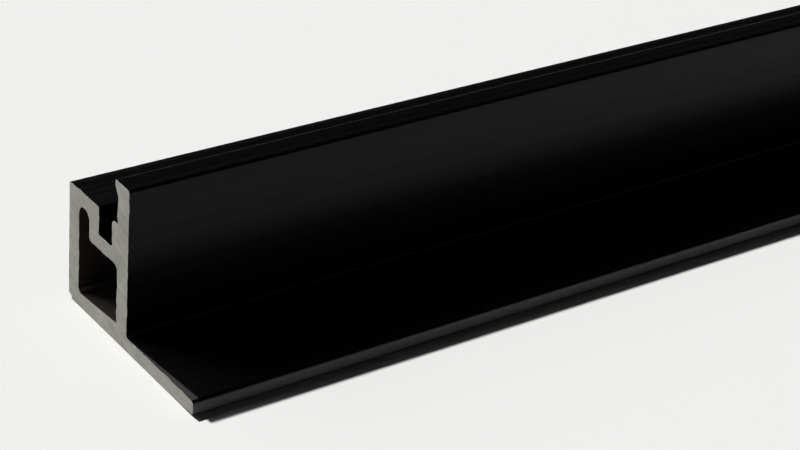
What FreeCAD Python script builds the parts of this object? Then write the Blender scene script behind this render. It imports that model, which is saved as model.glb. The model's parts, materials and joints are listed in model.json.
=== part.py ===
"""Wall panel trim: a straight length of extruded and anodised aluminium, one solid all the way.

The bar lies along X on its flat base. Its section is a hollow box along the back, a thin fin that stands
up from the front of the box, and a flange that runs forward from the foot of the fin. The fin and the
flange make the rebate that a wall panel's edge sits in. A narrow channel for clips or a cover strip is
sunk in the top of the box, behind the fin. The hollow has a round-topped neck behind the channel.

The origin is at the middle of the footprint, on the base. +X is along the bar, +Z is up, and the flange
points to -Y.
"""

import FreeCAD, Part
import math
import os

import Sketcher

NODE = "trim_extrusion"

# Driving sizes in millimetres. Across the section they add up from the back wall to the flange's edge,
# and up the section from the base to the fin's top.
SIZES = {
    "length": 2500,  # the bar, from cut end to cut end
    "back_wall": 2.05,  # wall behind the hollow
    "neck_width": 2.15,  # the hollow's upper part, behind the channel
    "channel_wall": 1.9,  # wall between the neck and the channel
    "channel_width": 2.75,  # channel between its two side walls
    "shelf_width": 1.05,  # step from the channel's front wall to the fin
    "fin_thickness": 2.1,  # fin above the box
    "front_wall": 2,  # wall between the hollow and the panel
    "flange_width": 13,  # flange in front of the fin
    "flange_thickness": 1.6,  # flange, and the floor under the hollow
    "rebate_depth": 16.6,  # from the flange's top to the fin's top: a 16 mm panel and some play
    "hollow_height": 7.2,  # main part of the hollow
    "web_thickness": 1.6,  # between the hollow and the channel's floor
    "channel_depth": 3.1,  # from the top of the box to the channel's floor
    "neck_cover": 1.6,  # metal over the neck
    "lip_reach": 0.6,  # how far the lip at the fin's top stands out over the shelf
    "lip_height": 0.65,  # upright face of the lip
    "lip_slope": 1.05,  # height of the slope under the lip
    "bevel_width": 1.4,  # bevel along the back of the base
    "bevel_height": 0.55,
    "edge_radius": 0.2,  # plain outer edges
    "fin_tip_radius": 0.4,  # front of the fin's top
    "flange_tip_radius": 0.45,  # top of the flange's edge
    "shelf_radius": 0.45,  # edge of the step in front of the channel
    "lip_radius": 0.1,  # top of the lip
    "root_radius": 0.4,  # where the flange meets the fin
    "channel_back_radius": 0.2,  # channel's floor, back
    "channel_front_radius": 0.4,  # channel's floor, front
    "hollow_radius": 0.65,  # both corners of the hollow's floor
    "ceiling_radius": 0.85,  # front of the hollow's ceiling
    "neck_mouth_radius": 0.4,  # where the ceiling turns up into the neck
}

# Formulas over the sizes, with every name and sign set off by spaces. Widths run forward from the back.
NECK_FRONT = "( back_wall + neck_width )"
CHANNEL_BACK = f"( {NECK_FRONT} + channel_wall )"
CHANNEL_FRONT = f"( {CHANNEL_BACK} + channel_width )"
FIN_BACK = f"( {CHANNEL_FRONT} + shelf_width )"
FIN_FRONT = f"( {FIN_BACK} + fin_thickness )"
HOLLOW_FRONT = f"( {FIN_FRONT} - front_wall )"
LIP_BACK = f"( {FIN_BACK} - lip_reach )"
TOTAL_WIDTH = f"( {FIN_FRONT} + flange_width )"
HOLLOW_TOP = "( flange_thickness + hollow_height )"
CHANNEL_FLOOR = f"( {HOLLOW_TOP} + web_thickness )"
BOX_TOP = f"( {CHANNEL_FLOOR} + channel_depth )"
NECK_SPRING = f"( {BOX_TOP} - neck_cover - neck_width / 2 )"
FIN_TOP = "( flange_thickness + rebate_depth )"
LIP_FOOT = f"( {FIN_TOP} - lip_height )"
SLOPE_FOOT = f"( {LIP_FOOT} - lip_slope )"

# Corners of the section: name, distance forward from the back, height above the base.
OUTLINE = [
    ("flange_foot", TOTAL_WIDTH, "0"),
    ("bevel_foot", "bevel_width", "0"),
    ("bevel_top", "0", "bevel_height"),
    ("box_back", "0", BOX_TOP),
    ("ledge_edge", CHANNEL_BACK, BOX_TOP),
    ("channel_floor_back", CHANNEL_BACK, CHANNEL_FLOOR),
    ("channel_floor_front", CHANNEL_FRONT, CHANNEL_FLOOR),
    ("shelf_edge", CHANNEL_FRONT, BOX_TOP),
    ("shelf_root", FIN_BACK, BOX_TOP),
    ("slope_foot", FIN_BACK, SLOPE_FOOT),
    ("lip_foot", LIP_BACK, LIP_FOOT),
    ("lip_top", LIP_BACK, FIN_TOP),
    ("fin_tip", FIN_FRONT, FIN_TOP),
    ("flange_root", FIN_FRONT, "flange_thickness"),
    ("flange_tip", TOTAL_WIDTH, "flange_thickness"),
]
HOLLOW = [
    ("hollow_floor_front", HOLLOW_FRONT, "flange_thickness"),
    ("hollow_floor_back", "back_wall", "flange_thickness"),
    ("neck_back", "back_wall", NECK_SPRING),
    ("neck_front", NECK_FRONT, NECK_SPRING),
    ("neck_mouth", NECK_FRONT, HOLLOW_TOP),
    ("hollow_ceiling_front", HOLLOW_FRONT, HOLLOW_TOP),
]
ARCH = "neck_back"  # a half circle, not a straight line, runs from this corner to the next

# The corners that each radius rounds.
ROUNDS = {
    "edge_radius": ["flange_foot", "box_back", "ledge_edge"],
    "shelf_radius": ["shelf_edge"],
    "lip_radius": ["lip_top"],
    "fin_tip_radius": ["fin_tip"],
    "flange_tip_radius": ["flange_tip"],
    "root_radius": ["flange_root"],
    "channel_back_radius": ["channel_floor_back"],
    "channel_front_radius": ["channel_floor_front"],
    "hollow_radius": ["hollow_floor_front", "hollow_floor_back"],
    "ceiling_radius": ["hollow_ceiling_front"],
    "neck_mouth_radius": ["neck_mouth"],
}

SAME_PLACE = 1e-4  # two points this near are one corner


def fill_sheet(doc):
    """The spreadsheet that drives every sketch and feature."""
    sheet = doc.addObject("Spreadsheet::Sheet", "Sizes")
    for row, (name, value) in enumerate(SIZES.items(), start=1):
        sheet.set(f"A{row}", name)
        sheet.set(f"B{row}", str(value))
        sheet.setAlias(f"B{row}", name)
    doc.recompute()
    return sheet


def on_sheet(formula):
    """The formula as FreeCAD reads it, with each size's name pointing at its cell."""
    return " ".join(f"Sizes.{word}" if word in SIZES else word for word in formula.split())


def across(forward):
    """The Y place of something that lies this far forward of the back."""
    return on_sheet(f"{TOTAL_WIDTH} / 2 - {forward}")


def section_sketch(body, name):
    """An empty sketch on the body's own YZ plane, where the bar's section is drawn."""
    sketch = body.newObject("Sketcher::SketchObject", name)
    plane = next(item for item in body.Origin.OriginFeatures if item.Role == "YZ_Plane")
    sketch.AttachmentSupport = (plane, [""])
    sketch.MapMode = "FlatFace"
    return sketch


def tie(sketch, name, direction, geometry, vertex, formula):
    """Binds a point's distance from the sketch's origin to the sheet."""
    value = sketch.evalExpression(formula)
    sketch.addConstraint(Sketcher.Constraint(direction, -1, 1, geometry, vertex, float(value)))
    sketch.renameConstraint(sketch.ConstraintCount - 1, name)
    sketch.setExpression(f"Constraints.{name}", formula)


def draw(sketch, corners):
    """Closes an outline through the corners, each tied to the sheet, and returns the corners' places."""
    places = {}
    for name, forward, height in corners:
        y_place = float(sketch.evalExpression(across(forward)))
        z_place = float(sketch.evalExpression(on_sheet(height)))
        places[name] = FreeCAD.Vector(y_place, z_place, 0)
    names = list(places)
    for number, name in enumerate(names):
        start = places[name]
        end = places[names[(number + 1) % len(names)]]
        if name == ARCH:
            circle = Part.Circle((start + end) / 2, FreeCAD.Vector(0, 0, 1), (start - end).Length / 2)
            sketch.addGeometry(Part.ArcOfCircle(circle, 0, math.pi))
        else:
            sketch.addGeometry(Part.LineSegment(start, end))
    for number, (name, forward, height) in enumerate(corners):
        previous = (number - 1) % len(corners)
        sketch.addConstraint(Sketcher.Constraint("Coincident", previous, 2, number, 1))
        tie(sketch, f"{name}_across", "DistanceX", number, 1, across(forward))
        if height == "0":
            sketch.addConstraint(Sketcher.Constraint("PointOnObject", number, 1, -1))
        else:
            tie(sketch, f"{name}_height", "DistanceY", number, 1, on_sheet(height))
        if name == ARCH:
            tie(sketch, "arch_centre_height", "DistanceY", number, 3, on_sheet(height))
    return places


def long_edges(shape, places):
    """Names of the edges that run the bar's whole length through the given places of its section."""
    found = []
    for number, edge in enumerate(shape.Edges, start=1):
        ends = [vertex.Point for vertex in edge.Vertexes]
        for place in places:
            if all(math.hypot(end.y - place.x, end.z - place.y) < SAME_PLACE for end in ends):
                found.append(f"Edge{number}")
    if len(found) != len(places):
        raise RuntimeError(f"{len(found)} edges found at {len(places)} corners")
    return found


def make_extrusion(doc):
    """The bar: its outline padded along X, its hollow cut right through, and its corners rounded."""
    body = doc.addObject("PartDesign::Body", NODE)
    body.Label = NODE

    outline = section_sketch(body, "Outline")
    places = draw(outline, OUTLINE)
    bar = body.newObject("PartDesign::Pad", "Bar")
    bar.Profile = outline
    bar.SideType = "Symmetric"
    bar.setExpression("Length", on_sheet("length"))
    doc.recompute()
    solid_volume = bar.Shape.Volume

    cavity = section_sketch(body, "Cavity")
    places.update(draw(cavity, HOLLOW))
    hollow = body.newObject("PartDesign::Pocket", "Hollow")
    hollow.Profile = cavity
    hollow.SideType = "Symmetric"
    hollow.Type = "ThroughAll"
    doc.recompute()
    removed = Part.Face(Part.Wire(cavity.Shape.Edges)).Area * bar.Length.Value
    if abs(solid_volume - hollow.Shape.Volume - removed) > 1e-6 * solid_volume:
        raise RuntimeError("the hollow doesn't run through the whole bar")

    for radius, corners in ROUNDS.items():
        previous = body.Tip
        rounded = body.newObject("PartDesign::Fillet", radius.title().replace("_", ""))
        rounded.Base = (previous, long_edges(previous.Shape, [places[name] for name in corners]))
        rounded.setExpression("Radius", on_sheet(radius))
        doc.recompute()
    return body


def check(doc, body):
    """Stops at any failed object and at a shape that isn't one valid solid."""
    for item in doc.Objects:
        if "Invalid" in item.State or "Error" in item.State:
            raise RuntimeError(f"{item.Name} failed")
    for sketch in (item for item in doc.Objects if item.TypeId == "Sketcher::SketchObject"):
        if sketch.solve() != 0 or not sketch.FullyConstrained:
            raise RuntimeError(f"{sketch.Name} isn't fully constrained")
    shape = body.Shape
    if shape.isNull() or not shape.isValid() or len(shape.Solids) != 1:
        raise RuntimeError(f"{body.Label} isn't one valid solid")


def main():
    doc = FreeCAD.newDocument("WallPanelTrim")
    fill_sheet(doc)
    body = make_extrusion(doc)
    doc.recompute()
    check(doc, body)
    os.makedirs("parts", exist_ok=True)
    body.Shape.exportStep(f"parts/{body.Label}.step")
    box = body.Shape.BoundBox
    print(f"{body.Label}: {box.XLength:.2f} x {box.YLength:.2f} x {box.ZLength:.2f} mm")
    print(f"section {body.Shape.Volume / box.XLength:.2f} mm2, volume {body.Shape.Volume:.1f} mm3")


main()
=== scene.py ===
"""Looks of the wall panel trim: a bar of black anodised aluminium with bare sawn ends, on a pale floor."""

import json
import math

import bmesh
import bpy
from mathutils import Matrix, Vector, noise


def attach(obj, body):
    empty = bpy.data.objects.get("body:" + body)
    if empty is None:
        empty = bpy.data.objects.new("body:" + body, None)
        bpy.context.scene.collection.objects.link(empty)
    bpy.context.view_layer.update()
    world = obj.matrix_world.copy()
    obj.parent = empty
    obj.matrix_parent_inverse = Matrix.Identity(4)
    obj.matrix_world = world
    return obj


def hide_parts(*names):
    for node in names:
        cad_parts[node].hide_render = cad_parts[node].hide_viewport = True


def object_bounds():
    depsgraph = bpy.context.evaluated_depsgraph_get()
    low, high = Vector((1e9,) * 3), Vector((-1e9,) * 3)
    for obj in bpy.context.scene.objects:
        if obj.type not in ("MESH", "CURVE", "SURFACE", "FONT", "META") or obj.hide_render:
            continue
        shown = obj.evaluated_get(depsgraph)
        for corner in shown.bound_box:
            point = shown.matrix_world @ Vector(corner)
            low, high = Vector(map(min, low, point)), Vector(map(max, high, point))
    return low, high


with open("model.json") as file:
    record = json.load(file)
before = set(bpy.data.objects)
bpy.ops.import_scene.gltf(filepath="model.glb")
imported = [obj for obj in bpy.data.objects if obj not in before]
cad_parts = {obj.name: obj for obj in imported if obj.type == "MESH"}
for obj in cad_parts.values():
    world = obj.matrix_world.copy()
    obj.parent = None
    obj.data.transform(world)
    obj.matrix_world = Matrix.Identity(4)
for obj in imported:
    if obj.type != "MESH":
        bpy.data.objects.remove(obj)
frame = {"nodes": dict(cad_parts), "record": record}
cad_low, cad_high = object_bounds()

NODE = "trim_extrusion"
MM = 0.001
mounts = {mount["name"]: mount for mount in frame["record"]["mounts"]}
flange_top = mounts["panel_seat"]["pos_m"][2]

# The bar's mesh
OUTLINE_STEP = 0.35 * MM  # longest stretch of the section's outline between two points
BAR_STEP = 25 * MM  # the same along the bar
BURR_INSET = (-0.13 * MM, 0.20 * MM)  # from the outline in to the cut face's rim; under 0 is outside
BURR_DEPTH = 0.02 * MM  # how far back from the cut the true outline starts
BURR_MIDDLE = 0.45  # where in that spread the rim lies on average, as a share
COARSE_WAVE, COARSE_SHARE = 2.2 * MM, 0.5  # size of the rim's long waves, and how far they move it
FINE_WAVE, FINE_SHARE = 0.7 * MM, 0.6  # the same for its short waves
FINE_SHIFT = 7 * MM  # keeps the short waves apart from the long ones
CUT_ZONE = (0.4 * MM, 0.8 * MM, 1.3 * MM, 4 * MM)  # rings just behind each cut
SMOOTH_ANGLE = math.radians(28)
EDGE_FACE = 0.12 * MM  # how near the flange's free edge a face lies that counts as part of it
CORNER_LIFT = 0.2 * MM  # how far the flange's corner at the near cut is bent up off the floor
CORNER_REACH = (1.3 * MM, 3.5 * MM)  # how far that goes along the bar and in from the free edge

BLADE_CENTRE = (0, -37.5 * MM, 123 * MM)  # of the circular saw that cut the bar, in a cut's plane

# How near two places are that count as the same, in metres
WELD_GAP = 1e-7
CAP_GAP = 1e-6
CUT_GAP = 1e-9
FLANGE_GAP = 0.01 * MM

# Material slots of the bar
FILM, SAWN, HOLLOW, PAINTED_EDGE, FLANGE = range(5)

# Colours and finishes: each pair of colours is the darkest and the lightest of a surface's clouds
FILM_COLOURS = ((0.0012, 0.0012, 0.0014, 1), (0.0024, 0.0024, 0.0026, 1))
FILM_GLOSS = 0.10
FILM_ROUGHNESS = (0.22, 0.32)
# Painted light: the inside of the hollow is a lighter copy of the black film, standing in for light
# reaching into it
HOLLOW_PAINTED_LIGHT_COLOURS = ((0.010, 0.008, 0.007, 1), (0.030, 0.024, 0.021, 1))
HOLLOW_GLOSS = 0.2
HOLLOW_ROUGHNESS = (0.35, 0.45)
# Painted light: the flange's flat top is a lighter copy of the black film, standing in for light falling
# on it in the fin's shadow
FLANGE_PAINTED_LIGHT_COLOURS = ((0.035, 0.035, 0.035, 1), (0.055, 0.055, 0.055, 1))
DUST_COLOUR = (0.03, 0.03, 0.028, 1)
# Painted light: what faces up just inside the hollow at both cuts is lightened, standing in for light
# coming in at the open ends
INLET_PAINTED_LIGHT = (0.30, 0.26, 0.24, 1)
INLET_PAINTED_LIGHT_REACH = (5 * MM, 25 * MM)  # how far from a cut the painted light at the open ends starts to thin, and ends
# Painted light: the flange's free edge is a lighter copy of the film, standing in for the lit floor it
# reflects
EDGE_PAINTED_LIGHT_COLOURS = ((0.022, 0.022, 0.022, 1), (0.034, 0.034, 0.034, 1))
EDGE_GLOSS = 0.5
EDGE_ROUGHNESS = (0.38, 0.48)
# Painted light at the edge's foot, lighter still where it would reflect the shadow before it
FOOT_PAINTED_LIGHT = (0.17, 0.17, 0.17, 1)
FOOT_PAINTED_LIGHT_HEIGHT = (0.1 * MM, 1.3 * MM)  # heights between which the painted light at the edge's foot fades out
SAWN_COLOURS = ((0.365, 0.360, 0.325, 1), (0.500, 0.490, 0.460, 1))
SAWN_TINT = (0.455, 0.425, 0.400, 1)
SAWN_MARKS = (0.320, 0.325, 0.280, 1)
SAWN_METAL = 0.7
SAWN_ROUGHNESS = (0.52, 0.68)

# Sizes of the patterns, in waves a metre: along the bar, across it and up, or one for all three
DIE_LINES = (2, 1500, 1500)
FILM_CLOUDS = (60, 120, 120)
EDGE_CLOUDS = (60, 700, 700)
DUST_SPECKS = 420
SAW_MARKS = (1700, 130, 1)  # outwards from the blade's centre, then across the bar
SAW_SMEARS = 330
SAW_TINTS = 190
SAW_GRAIN = 2600

# Heights of the bumps
DIE_LINE_HEIGHT = 0.006 * MM
EDGE_GRAIN_HEIGHT = 0.004 * MM
SAW_MARK_HEIGHT = 0.02 * MM
MARKS_OVER_GRAIN = 1.5
BUMP_STRENGTH = 0.6

# The view: from in front of the near cut end, above it, the camera a little tilted
VIEW_AZIMUTH = math.radians(-37.870)
VIEW_ELEVATION = math.radians(29.251)
VIEW_ROLL = math.radians(5.237)
CAMERA_FROM_CORNER = Vector((-93.251, -174.374, 121.063)) * MM  # from the back foot of the near end
SENSOR_WIDTH = 36.0
LENS = 99.81
CLIP_START, CLIP_END = 0.01, 200

# The light: where each sun's light travels to, how strong it is and how wide it looks
KEY_TRAVEL = Vector((0.99, -15.04, -18.16))
KEY_STRENGTH = 3.85
KEY_ANGLE = math.radians(1.0)
FILL_TRAVEL = Vector((0.32, -0.70, -0.62))
FILL_STRENGTH = 0.3
FILL_ANGLE = math.radians(30)
WORLD_GREY = 0.006

# The floor, and a low pale backdrop round it that only the camera and reflections see, in metres
FLOOR_COLOUR = (0.86, 0.86, 0.85, 1)
FLOOR_RADIUS = 30.0
BACKDROP_HEIGHT = 4.0
BACKDROP_LEVEL = 0.8
FLOOR_SIDES = 96


def section_loops(node):
    """The closed outlines of the bar's section as lists of (y, z), read from the node's low-X end."""
    mesh = bmesh.new()
    mesh.from_mesh(frame["nodes"][node].data)
    bmesh.ops.remove_doubles(mesh, verts=mesh.verts, dist=WELD_GAP)
    low = min(vertex.co.x for vertex in mesh.verts)
    cap = {face for face in mesh.faces if all(abs(vertex.co.x - low) < CAP_GAP for vertex in face.verts)}
    rim = [edge for edge in mesh.edges if sum(face in cap for face in edge.link_faces) == 1]
    waiting = set(rim)
    loops = []
    while waiting:
        edge = waiting.pop()
        first, corner = edge.verts
        loop = [first]
        while corner is not first:
            loop.append(corner)
            edge = next(item for item in corner.link_edges if item in waiting)
            waiting.discard(edge)
            corner = edge.other_vert(corner)
        loops.append([Vector((vertex.co.y, vertex.co.z)) for vertex in loop])
    mesh.free()
    return sorted(loops, key=lambda loop: -abs(area(loop)))


def area(loop):
    """Signed area of a closed outline, positive when it runs anticlockwise."""
    return sum(a.cross(b) for a, b in zip(loop, loop[1:] + loop[:1])) / 2


def divided(loop, step):
    """The outline with its long stretches cut into pieces no longer than the step."""
    points = []
    for start, end in zip(loop, loop[1:] + loop[:1]):
        pieces = max(1, math.ceil((end - start).length / step))
        points += [start.lerp(end, number / pieces) for number in range(pieces)]
    return points


def inward(loop):
    """At each point of an outline, the unit vector into the metal, which lies on the outline's left."""
    sides = []
    for number, point in enumerate(loop):
        along = (loop[(number + 1) % len(loop)] - loop[number - 1]).normalized()
        sides.append(Vector((-along.y, along.x)))
    return sides


def ragged(place, spread, seed):
    """A value between the two ends of the spread that wanders along the outline."""
    low, high = spread
    coarse = noise.noise(Vector((place.x, place.y, seed)) / COARSE_WAVE)
    fine = noise.noise(Vector((place.x, place.y, seed + FINE_SHIFT)) / FINE_WAVE)
    share = min(max(BURR_MIDDLE + COARSE_SHARE * coarse + FINE_SHARE * fine, 0), 1)
    return low + (high - low) * share


def on_flange(place):
    """Whether a point (y, z) of the outline lies on the flange's flat top."""
    return abs(place.y - flange_top) < FLANGE_GAP and place.x < 0


def stations(low, high):
    """Places along the bar of the rings between the two cut ends' own rings."""
    first, last = low + CUT_ZONE[-1], high - CUT_ZONE[-1]
    count = round((last - first) / BAR_STEP)
    middle = [first + (last - first) * number / count for number in range(count + 1)]
    return [low + step for step in CUT_ZONE[:-1]] + middle + [high - step for step in CUT_ZONE[-2::-1]]


def bent_corner(place):
    """Lifts the underside of the flange's corner at the near cut, which looks bent or worn."""
    along = 1 - (place.x - cad_low.x) / CORNER_REACH[0]
    across = 1 - (place.y - cad_low.y) / CORNER_REACH[1]
    under = 1 - (place.z - cad_low.z) / flange_top
    if min(along, across, under) <= 0:
        return place
    return place + Vector((0, 0, CORNER_LIFT * along * across * under))


def bar_mesh():
    """The bar: rings of the section along X, a flat sawn face with a ragged rim at both cuts."""
    loops = [divided(loop, OUTLINE_STEP) for loop in section_loops(NODE)]
    loops = [loop if (area(loop) > 0) == (index == 0) else loop[::-1] for index, loop in enumerate(loops)]
    mesh = bmesh.new()
    for loop in loops:
        sides = inward(loop)
        rings = []
        for end, sign in ((cad_low.x, 1), (cad_high.x, -1)):
            face_ring = []
            edge_ring = []
            for place, side in zip(loop, sides):
                inner = place + side * ragged(place, BURR_INSET, end)
                y_place = min(max(inner.x, cad_low.y), cad_high.y)
                z_place = min(max(inner.y, cad_low.z), cad_high.z)
                face_ring.append(mesh.verts.new((end, y_place, z_place)))
                edge_ring.append(mesh.verts.new((end + sign * BURR_DEPTH, place.x, place.y)))
            rings.append((face_ring, edge_ring))
        middle = [[mesh.verts.new((x, place.x, place.y)) for place in loop]
                  for x in stations(cad_low.x, cad_high.x)]
        chain = [rings[0][0], rings[0][1], *middle, rings[1][1], rings[1][0]]
        for number, (near, far) in enumerate(zip(chain, chain[1:])):
            bare = number in (0, len(chain) - 2)
            for index in range(len(loop)):
                after = (index + 1) % len(loop)
                face = mesh.faces.new((near[index], far[index], far[after], near[after]))
                if bare:
                    face.material_index = SAWN
                elif loop is not loops[0]:
                    face.material_index = HOLLOW
                # the flange's free edge takes the painted-light edge
                elif max(loop[index].x, loop[after].x) < cad_low.y + EDGE_FACE:
                    face.material_index = PAINTED_EDGE
                # the flange's top takes the painted-light copy of the film
                elif on_flange(loop[index]) and on_flange(loop[after]):
                    face.material_index = FLANGE
                else:
                    face.material_index = FILM
                face.smooth = not bare
    for end in (cad_low.x, cad_high.x):
        rim = [edge for edge in mesh.edges if len(edge.link_faces) == 1
               and all(abs(vertex.co.x - end) < CUT_GAP for vertex in edge.verts)]
        made = bmesh.ops.triangle_fill(mesh, edges=rim, use_beauty=True, use_dissolve=False)
        for item in made["geom"]:
            if isinstance(item, bmesh.types.BMFace):
                item.material_index = SAWN
                item.smooth = False
    for vertex in mesh.verts:
        vertex.co = bent_corner(vertex.co)
    bmesh.ops.recalc_face_normals(mesh, faces=mesh.faces)
    data = bpy.data.meshes.new("extruded_bar")
    mesh.to_mesh(data)
    mesh.free()
    data.set_sharp_from_angle(angle=SMOOTH_ANGLE)
    return data


def new_material(name):
    """An empty node material: (material, its nodes, a function that links two sockets, its shader)."""
    material = bpy.data.materials.new(name)
    material.use_nodes = True
    nodes = material.node_tree.nodes
    return material, nodes, material.node_tree.links.new, nodes["Principled BSDF"]


def mapped(nodes, link, scale):
    """Object coordinates stretched by the scale, the same on every face."""
    place = nodes.new("ShaderNodeTexCoord")
    mapping = nodes.new("ShaderNodeMapping")
    mapping.inputs["Scale"].default_value = scale
    link(place.outputs["Object"], mapping.inputs["Vector"])
    return mapping.outputs["Vector"]


def noise_on(nodes, link, vector, scale, detail):
    """A noise texture's value on the given coordinates."""
    texture = nodes.new("ShaderNodeTexNoise")
    texture.inputs["Scale"].default_value = scale
    texture.inputs["Detail"].default_value = detail
    link(vector, texture.inputs["Vector"])
    return texture.outputs["Fac"]


def ramp(nodes, link, value, low, high, bottom, top):
    """Maps a value from low..high to bottom..top, held inside those ends."""
    node = nodes.new("ShaderNodeMapRange")
    node.inputs["From Min"].default_value = low
    node.inputs["From Max"].default_value = high
    node.inputs["To Min"].default_value = bottom
    node.inputs["To Max"].default_value = top
    link(value, node.inputs["Value"])
    return node.outputs["Result"]


def mixed(nodes, link, share, first, second):
    """A colour between two colours, each a tuple or another node's socket.

    The mix node's inputs 6 and 7 and its output 2 are the ones that carry colour.
    """
    node = nodes.new("ShaderNodeMix")
    node.data_type = "RGBA"
    link(share, node.inputs["Factor"])
    for socket, colour in ((node.inputs[6], first), (node.inputs[7], second)):
        if isinstance(colour, tuple):
            socket.default_value = colour
        else:
            link(colour, socket)
    return node.outputs[2]


def bumped(nodes, link, shader, height, distance):
    """Gives the shader a bump of that height."""
    bump = nodes.new("ShaderNodeBump")
    bump.inputs["Distance"].default_value = distance
    bump.inputs["Strength"].default_value = BUMP_STRENGTH
    link(height, bump.inputs["Height"])
    link(bump.outputs["Normal"], shader.inputs["Normal"])


def anodised(name, dark, light, gloss, roughness, inlet_light=None):
    """Satin anodising over faint die lines that run along the bar, with a little dust.

    Where a colour for it is given, light coming in at the open ends is painted in that colour on what
    faces up, just inside both cuts.
    """
    material, nodes, link, shader = new_material(name)
    shader.inputs["Metallic"].default_value = 0.0
    shader.inputs["IOR"].default_value = 1.5
    shader.inputs["Specular IOR Level"].default_value = gloss
    lines = noise_on(nodes, link, mapped(nodes, link, DIE_LINES), 1.0, 3)
    cloud = noise_on(nodes, link, mapped(nodes, link, FILM_CLOUDS), 1.0, 4)
    speckle = nodes.new("ShaderNodeTexVoronoi")
    speckle.inputs["Scale"].default_value = DUST_SPECKS
    link(mapped(nodes, link, (1, 1, 1)), speckle.inputs["Vector"])
    dust = ramp(nodes, link, speckle.outputs["Distance"], 0.035, 0.055, 1, 0)
    film = mixed(nodes, link, cloud, dark, light)
    # paints the light that comes in at the open ends onto what faces up
    if inlet_light:
        film = mixed(nodes, link, near_cut_and_up(nodes, link), film, inlet_light)
    link(mixed(nodes, link, dust, film, DUST_COLOUR), shader.inputs["Base Color"])
    link(ramp(nodes, link, lines, 0.3, 0.7, *roughness), shader.inputs["Roughness"])
    bumped(nodes, link, shader, lines, DIE_LINE_HEIGHT)
    return material


def near_cut_and_up(nodes, link):
    """1 on what faces up close to a cut end, fading to 0 deeper in the bar and on the walls: where the
    painted light at the open ends lies.
    """
    place = nodes.new("ShaderNodeSeparateXYZ")
    link(nodes.new("ShaderNodeTexCoord").outputs["Object"], place.inputs["Vector"])
    facing = nodes.new("ShaderNodeSeparateXYZ")
    link(nodes.new("ShaderNodeNewGeometry").outputs["Normal"], facing.inputs["Vector"])
    along = nodes.new("ShaderNodeMath")
    along.operation = "ABSOLUTE"
    link(place.outputs["X"], along.inputs[0])
    end, start = cad_high.x - INLET_PAINTED_LIGHT_REACH[1], cad_high.x - INLET_PAINTED_LIGHT_REACH[0]
    close = ramp(nodes, link, along.outputs["Value"], end, start, 0, 1)
    level = ramp(nodes, link, facing.outputs["Z"], 0.3, 0.9, 0, 1)
    both = nodes.new("ShaderNodeMath")
    both.operation = "MULTIPLY"
    link(close, both.inputs[0])
    link(level, both.inputs[1])
    return both.outputs["Value"]


def edge_painted_light():
    """The flange's free edge: painted light, a lighter copy of the satin film standing in for the lit
    floor it reflects, paler still towards its foot where it would reflect the shadow before it.
    """
    material, nodes, link, shader = new_material("edge_painted_light")
    shader.inputs["Specular IOR Level"].default_value = EDGE_GLOSS
    place = nodes.new("ShaderNodeSeparateXYZ")
    link(nodes.new("ShaderNodeTexCoord").outputs["Object"], place.inputs["Vector"])
    foot_light = ramp(nodes, link, place.outputs["Z"], *FOOT_PAINTED_LIGHT_HEIGHT, 1, 0)
    cloud = noise_on(nodes, link, mapped(nodes, link, EDGE_CLOUDS), 1.0, 4)
    film = mixed(nodes, link, cloud, *EDGE_PAINTED_LIGHT_COLOURS)
    link(mixed(nodes, link, foot_light, film, FOOT_PAINTED_LIGHT), shader.inputs["Base Color"])
    link(ramp(nodes, link, cloud, 0.3, 0.7, *EDGE_ROUGHNESS), shader.inputs["Roughness"])
    bumped(nodes, link, shader, cloud, EDGE_GRAIN_HEIGHT)
    return material


def sawn_aluminium():
    """Bare aluminium as a saw leaves it: grey and matt, with the blade's shallow curved marks."""
    material, nodes, link, shader = new_material("sawn_aluminium")
    shader.inputs["Metallic"].default_value = SAWN_METAL
    plain = mapped(nodes, link, (1, 1, 1))
    reach = nodes.new("ShaderNodeVectorMath")
    reach.operation = "DISTANCE"
    flat = nodes.new("ShaderNodeVectorMath")
    flat.operation = "MULTIPLY"
    flat.inputs[1].default_value = (0, 1, 1)
    link(plain, flat.inputs[0])
    link(flat.outputs["Vector"], reach.inputs[0])
    reach.inputs[1].default_value = BLADE_CENTRE
    sweep = nodes.new("ShaderNodeCombineXYZ")
    link(reach.outputs["Value"], sweep.inputs["X"])
    place = nodes.new("ShaderNodeSeparateXYZ")
    link(plain, place.inputs["Vector"])
    link(place.outputs["Y"], sweep.inputs["Y"])
    stretch = nodes.new("ShaderNodeVectorMath")
    stretch.operation = "MULTIPLY"
    stretch.inputs[1].default_value = SAW_MARKS
    link(sweep.outputs["Vector"], stretch.inputs[0])
    marks = noise_on(nodes, link, stretch.outputs["Vector"], 1.0, 4)
    smear = noise_on(nodes, link, plain, SAW_SMEARS, 4)
    tint = noise_on(nodes, link, mapped(nodes, link, (1, 0.6, 1)), SAW_TINTS, 2)
    grain = noise_on(nodes, link, plain, SAW_GRAIN, 3)
    grey = mixed(nodes, link, ramp(nodes, link, smear, 0.3, 0.7, 0, 1), *SAWN_COLOURS)
    grey = mixed(nodes, link, ramp(nodes, link, tint, 0.42, 0.62, 0, 1), grey, SAWN_TINT)
    grey = mixed(nodes, link, ramp(nodes, link, marks, 0.35, 0.75, 0, 0.7), grey, SAWN_MARKS)
    link(grey, shader.inputs["Base Color"])
    link(ramp(nodes, link, grain, 0.3, 0.7, *SAWN_ROUGHNESS), shader.inputs["Roughness"])
    height = nodes.new("ShaderNodeMath")
    height.operation = "MULTIPLY_ADD"
    link(marks, height.inputs[0])
    height.inputs[1].default_value = MARKS_OVER_GRAIN
    link(grain, height.inputs[2])
    bumped(nodes, link, shader, height.outputs["Value"], SAW_MARK_HEIGHT)
    return material


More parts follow.
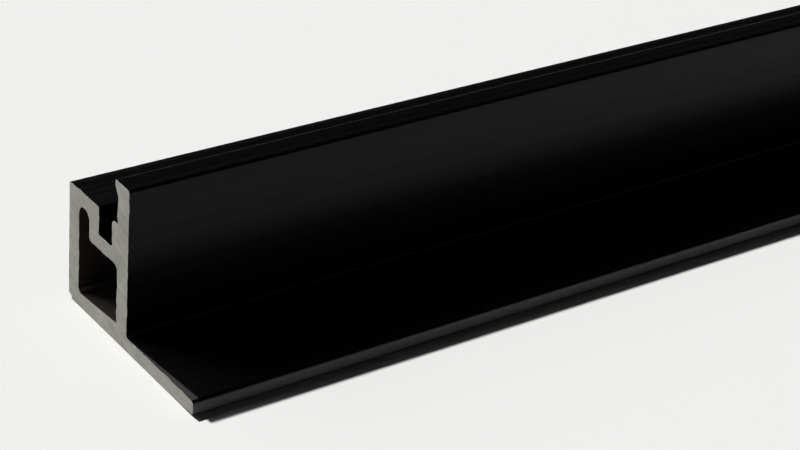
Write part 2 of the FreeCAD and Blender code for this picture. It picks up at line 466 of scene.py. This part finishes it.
def add_bar():
    """The trim itself, in place of the plain CAD node."""
    bar = bpy.data.objects.new("extruded_bar", bar_mesh())
    bpy.context.scene.collection.objects.link(bar)
    for material in (
        anodised("black_anodised", *FILM_COLOURS, FILM_GLOSS, FILM_ROUGHNESS),
        sawn_aluminium(),
        # the hollow's inside: a lighter painted-light copy of the film, with light painted in at the open
        # ends
        anodised("hollow_anodised", *HOLLOW_PAINTED_LIGHT_COLOURS, HOLLOW_GLOSS, HOLLOW_ROUGHNESS, inlet_light=INLET_PAINTED_LIGHT),
        # the flange's free edge: painted light
        edge_painted_light(),
        # the flange's top: a lighter copy of the film, painted light
        anodised("flange_painted_light", *FLANGE_PAINTED_LIGHT_COLOURS, FILM_GLOSS, FILM_ROUGHNESS),
    ):
        bar.data.materials.append(material)
    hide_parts(NODE)
    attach(bar, "root")


def ring(radius, height):
    """Points of a level circle round the bar's middle, at a height above the base."""
    middle = (cad_low + cad_high) / 2
    turns = [math.tau * side / FLOOR_SIDES for side in range(FLOOR_SIDES)]
    return [(middle.x + radius * math.cos(turn), middle.y + radius * math.sin(turn), cad_low.z + height)
            for turn in turns]


def add_stage(name, points, faces, material):
    """A part of the surroundings, not attached to any of the object's bodies."""
    data = bpy.data.meshes.new(name)
    data.from_pydata(points, [], faces)
    data.materials.append(material)
    surroundings = bpy.data.objects.new(name, data)
    bpy.context.scene.collection.objects.link(surroundings)


def pale_floor():
    """Plain matt off-white."""
    material, _, _, shader = new_material("pale_floor")
    shader.inputs["Base Color"].default_value = FLOOR_COLOUR
    shader.inputs["Roughness"].default_value = 0.9
    shader.inputs["Specular IOR Level"].default_value = 0.1
    return material


def pale_backdrop():
    """A pale glow for camera, glossy and transmission rays, which lights nothing."""
    material, nodes, link, shader = new_material("pale_backdrop")
    nodes.remove(shader)
    path = nodes.new("ShaderNodeLightPath")
    seen = path.outputs["Is Camera Ray"]
    for kind in ("Is Glossy Ray", "Is Transmission Ray"):
        either = nodes.new("ShaderNodeMath")
        either.operation = "MAXIMUM"
        link(seen, either.inputs[0])
        link(path.outputs[kind], either.inputs[1])
        seen = either.outputs["Value"]
    glow = nodes.new("ShaderNodeEmission")
    glow.inputs["Color"].default_value = (BACKDROP_LEVEL,) * 3 + (1,)
    link(seen, glow.inputs["Strength"])
    link(glow.outputs["Emission"], nodes["Material Output"].inputs["Surface"])
    return material


def add_surroundings():
    """A plain pale floor at the bar's base, and a low pale backdrop round its far edge."""
    foot = ring(FLOOR_RADIUS, 0)
    add_stage("floor", foot, [tuple(range(FLOOR_SIDES))], pale_floor())
    quads = [(side, (side + 1) % FLOOR_SIDES, (side + 1) % FLOOR_SIDES + FLOOR_SIDES, side + FLOOR_SIDES)
             for side in range(FLOOR_SIDES)]
    add_stage("backdrop", foot + ring(FLOOR_RADIUS, BACKDROP_HEIGHT), quads, pale_backdrop())


def add_sun(name, travel, strength, angle):
    """A sun lamp whose light travels in the given direction."""
    lamp = bpy.data.lights.new(name, "SUN")
    lamp.energy = strength
    lamp.angle = angle
    lamp_object = bpy.data.objects.new(name, lamp)
    lamp_object.rotation_mode = "QUATERNION"
    lamp_object.rotation_quaternion = travel.to_track_quat("-Z", "Y")
    bpy.context.scene.collection.objects.link(lamp_object)


def add_light():
    """A key light from behind and above, a wide soft one from behind the near end, and a dim room."""
    add_sun("key", KEY_TRAVEL, KEY_STRENGTH, KEY_ANGLE)
    add_sun("soft_fill", FILL_TRAVEL, FILL_STRENGTH, FILL_ANGLE)
    world = bpy.data.worlds.new("room")
    world.use_nodes = True
    world.node_tree.nodes["Background"].inputs["Color"].default_value = (WORLD_GREY,) * 3 + (1,)
    bpy.context.scene.world = world


def add_camera():
    """The camera looks down at the near cut end, with the bar running away to the right."""
    back = Vector((math.sin(VIEW_AZIMUTH) * math.cos(VIEW_ELEVATION),
                   -math.cos(VIEW_AZIMUTH) * math.cos(VIEW_ELEVATION),
                   math.sin(VIEW_ELEVATION)))
    level = Vector((math.cos(VIEW_AZIMUTH), math.sin(VIEW_AZIMUTH), 0))
    upright = back.cross(level)
    right = level * math.cos(VIEW_ROLL) + upright * math.sin(VIEW_ROLL)
    up = upright * math.cos(VIEW_ROLL) - level * math.sin(VIEW_ROLL)
    camera = bpy.data.cameras.new("camera")
    camera.sensor_width = SENSOR_WIDTH
    camera.lens = LENS
    camera.clip_start = CLIP_START
    camera.clip_end = CLIP_END
    holder = bpy.data.objects.new("camera", camera)
    corner = Vector((cad_low.x, cad_high.y, cad_low.z))
    turned = Matrix((right, up, back)).transposed().to_4x4()
    holder.matrix_world = Matrix.Translation(corner + CAMERA_FROM_CORNER) @ turned
    bpy.context.scene.collection.objects.link(holder)
    bpy.context.scene.camera = holder


add_camera()
add_bar()
add_surroundings()
add_light()
bpy.context.scene.view_settings.view_transform = "Standard"
